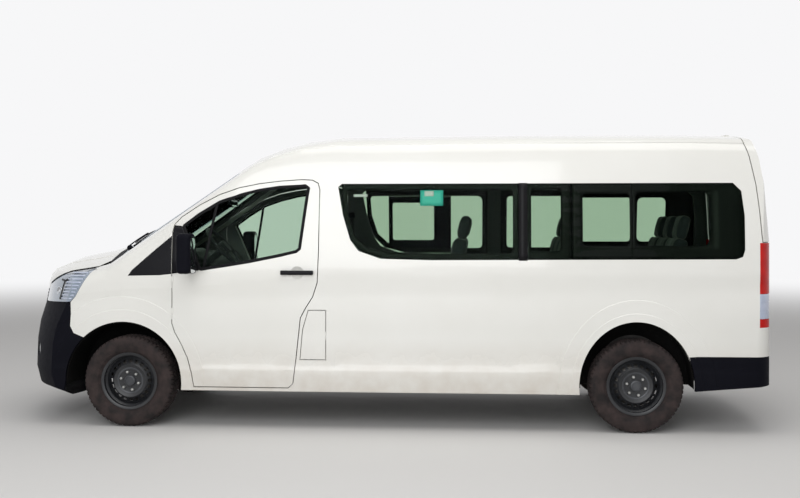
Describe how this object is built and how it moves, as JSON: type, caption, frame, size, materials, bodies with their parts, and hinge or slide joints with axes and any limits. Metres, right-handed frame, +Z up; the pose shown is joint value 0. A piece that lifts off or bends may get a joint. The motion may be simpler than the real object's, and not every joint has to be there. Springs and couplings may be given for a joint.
{
  "type": "minibus",
  "caption": "Long high-roof passenger van body on four steel wheels, with opening front doors, tailgate, bonnet and fuel flap, and steered front wheels.",
  "frame": {"origin": "on the ground under the centre of the whole vehicle", "axes": "+X forward along the vehicle, +Y to its left, +Z up"},
  "size_m": [5.9141, 2.45, 2.28],
  "materials": {
    "body_paint": "glossy warm white paint",
    "dark_plastic": "textured dark blue-black plastic",
    "clear_glass": "lightly tinted glass",
    "privacy_glass": "dark tinted glass",
    "lamp_clear": "clear ribbed lamp lens over a bright reflector",
    "lamp_red": "red moulded lamp lens",
    "black_steel": "satin black paint on steel",
    "underbody": "black underbody coating on steel",
    "inner_steel": "grey primer and body colour on inner steel",
    "cast_metal": "cast metal",
    "rubber_tyre": "dusty black tyre rubber",
    "seat_cloth": "dark grey woven seat cloth",
    "cabin_plastic": "grained grey cabin plastic",
    "exhaust_steel": "dull exhaust steel"
  },
  "bodies": {
    "body": {"cowl_panel": "dark_plastic", "dashboard": "cabin_plastic", "driver_seat": "seat_cloth", "engine": "cast_metal", "engine_bay": "inner_steel", "exhaust": "exhaust_steel", "floor_pan": "underbody", "front_bench": "seat_cloth", "front_bumper": "dark_plastic", "front_subframe": "underbody", "front_wings": "body_paint", "fuel_tank": "underbody", "grille": "dark_plastic", "headlamps": "lamp_clear", "leaf_springs": "underbody", "quarter_trims": "dark_plastic", "rear_axle": "underbody", "rear_bumper": "dark_plastic", "rear_seats": "seat_cloth", "roof_panel": "body_paint", "side_glass": "privacy_glass", "side_panel_left": "body_paint", "side_panel_right": "body_paint", "sliding_door": "body_paint", "spare_wheel": "rubber_tyre", "tail_lamps": "lamp_red", "windscreen": "clear_glass"},
    "door_left": {"door_front_left": "body_paint", "door_glass_left": "clear_glass", "mirror_left": "dark_plastic"},
    "door_right": {"door_front_right": "body_paint", "door_glass_right": "clear_glass", "mirror_right": "dark_plastic"},
    "tailgate": {"tailgate": "body_paint", "tailgate_glass": "privacy_glass"},
    "bonnet": {"bonnet": "body_paint"},
    "fuel_flap": {"fuel_flap": "body_paint"},
    "knuckle_left": {"knuckle_left": "cast_metal"},
    "knuckle_right": {"knuckle_right": "cast_metal"},
    "wheel_front_left": {"rim_front_left": "black_steel", "tyre_front_left": "rubber_tyre"},
    "wheel_front_right": {"rim_front_right": "black_steel", "tyre_front_right": "rubber_tyre"},
    "wheel_rear_left": {"rim_rear_left": "black_steel", "tyre_rear_left": "rubber_tyre"},
    "wheel_rear_right": {"rim_rear_right": "black_steel", "tyre_rear_right": "rubber_tyre"},
    "steering_wheel": {"steering_wheel": "cabin_plastic"}
  },
  "joints": [
    {"name": "door_left_hinge", "type": "hinge", "parent": "body", "child": "door_left", "pos_m": [1.604, 0.947, 0.85], "axis": [0, 0, -1], "range_deg": [0, 68]},
    {"name": "door_right_hinge", "type": "hinge", "parent": "body", "child": "door_right", "pos_m": [1.604, -0.947, 0.85], "axis": [0, 0, 1], "range_deg": [0, 68]},
    {"name": "tailgate_hinge", "type": "hinge", "parent": "body", "child": "tailgate", "pos_m": [-2.707, 0, 2.268], "axis": [0, 1, 0], "range_deg": [0, 88]},
    {"name": "bonnet_hinge", "type": "hinge", "parent": "body", "child": "bonnet", "pos_m": [2.149, 0, 1.387], "axis": [0, -1, 0], "range_deg": [0, 55]},
    {"name": "fuel_flap_hinge", "type": "hinge", "parent": "body", "child": "fuel_flap", "pos_m": [0.414, 0.962, 0.7], "axis": [0, 0, 1], "range_deg": [0, 100]},
    {"name": "steer_left", "type": "hinge", "parent": "body", "child": "knuckle_left", "pos_m": [1.9475, 0.777, 0.35], "axis": [0, 0, 1], "range_deg": [-36, 36]},
    {"name": "steer_right", "type": "hinge", "parent": "body", "child": "knuckle_right", "pos_m": [1.9475, -0.777, 0.35], "axis": [0, 0, 1], "range_deg": [-36, 36]},
    {"name": "steering_wheel_turn", "type": "hinge", "parent": "body", "child": "steering_wheel", "pos_m": [1.3075, 0.47, 1.37], "axis": [-0.7431, 0, 0.6691], "range_deg": [-576, 576]},
    {"name": "wheel_front_left_spin", "type": "hinge", "parent": "knuckle_left", "child": "wheel_front_left", "pos_m": [1.9475, 0.837, 0.35], "axis": [0, 1, 0], "continuous": true},
    {"name": "wheel_front_right_spin", "type": "hinge", "parent": "knuckle_right", "child": "wheel_front_right", "pos_m": [1.9475, -0.837, 0.35], "axis": [0, 1, 0], "continuous": true},
    {"name": "wheel_rear_left_spin", "type": "hinge", "parent": "body", "child": "wheel_rear_left", "pos_m": [-1.9125, 0.837, 0.35], "axis": [0, 1, 0], "continuous": true},
    {"name": "wheel_rear_right_spin", "type": "hinge", "parent": "body", "child": "wheel_rear_right", "pos_m": [-1.9125, -0.837, 0.35], "axis": [0, 1, 0], "continuous": true}
  ],
  "couplings": [
    {"joint": "steer_right", "follows": "steer_left", "ratio": 1},
    {"joint": "steering_wheel_turn", "follows": "steer_left", "ratio": 16}
  ]
}
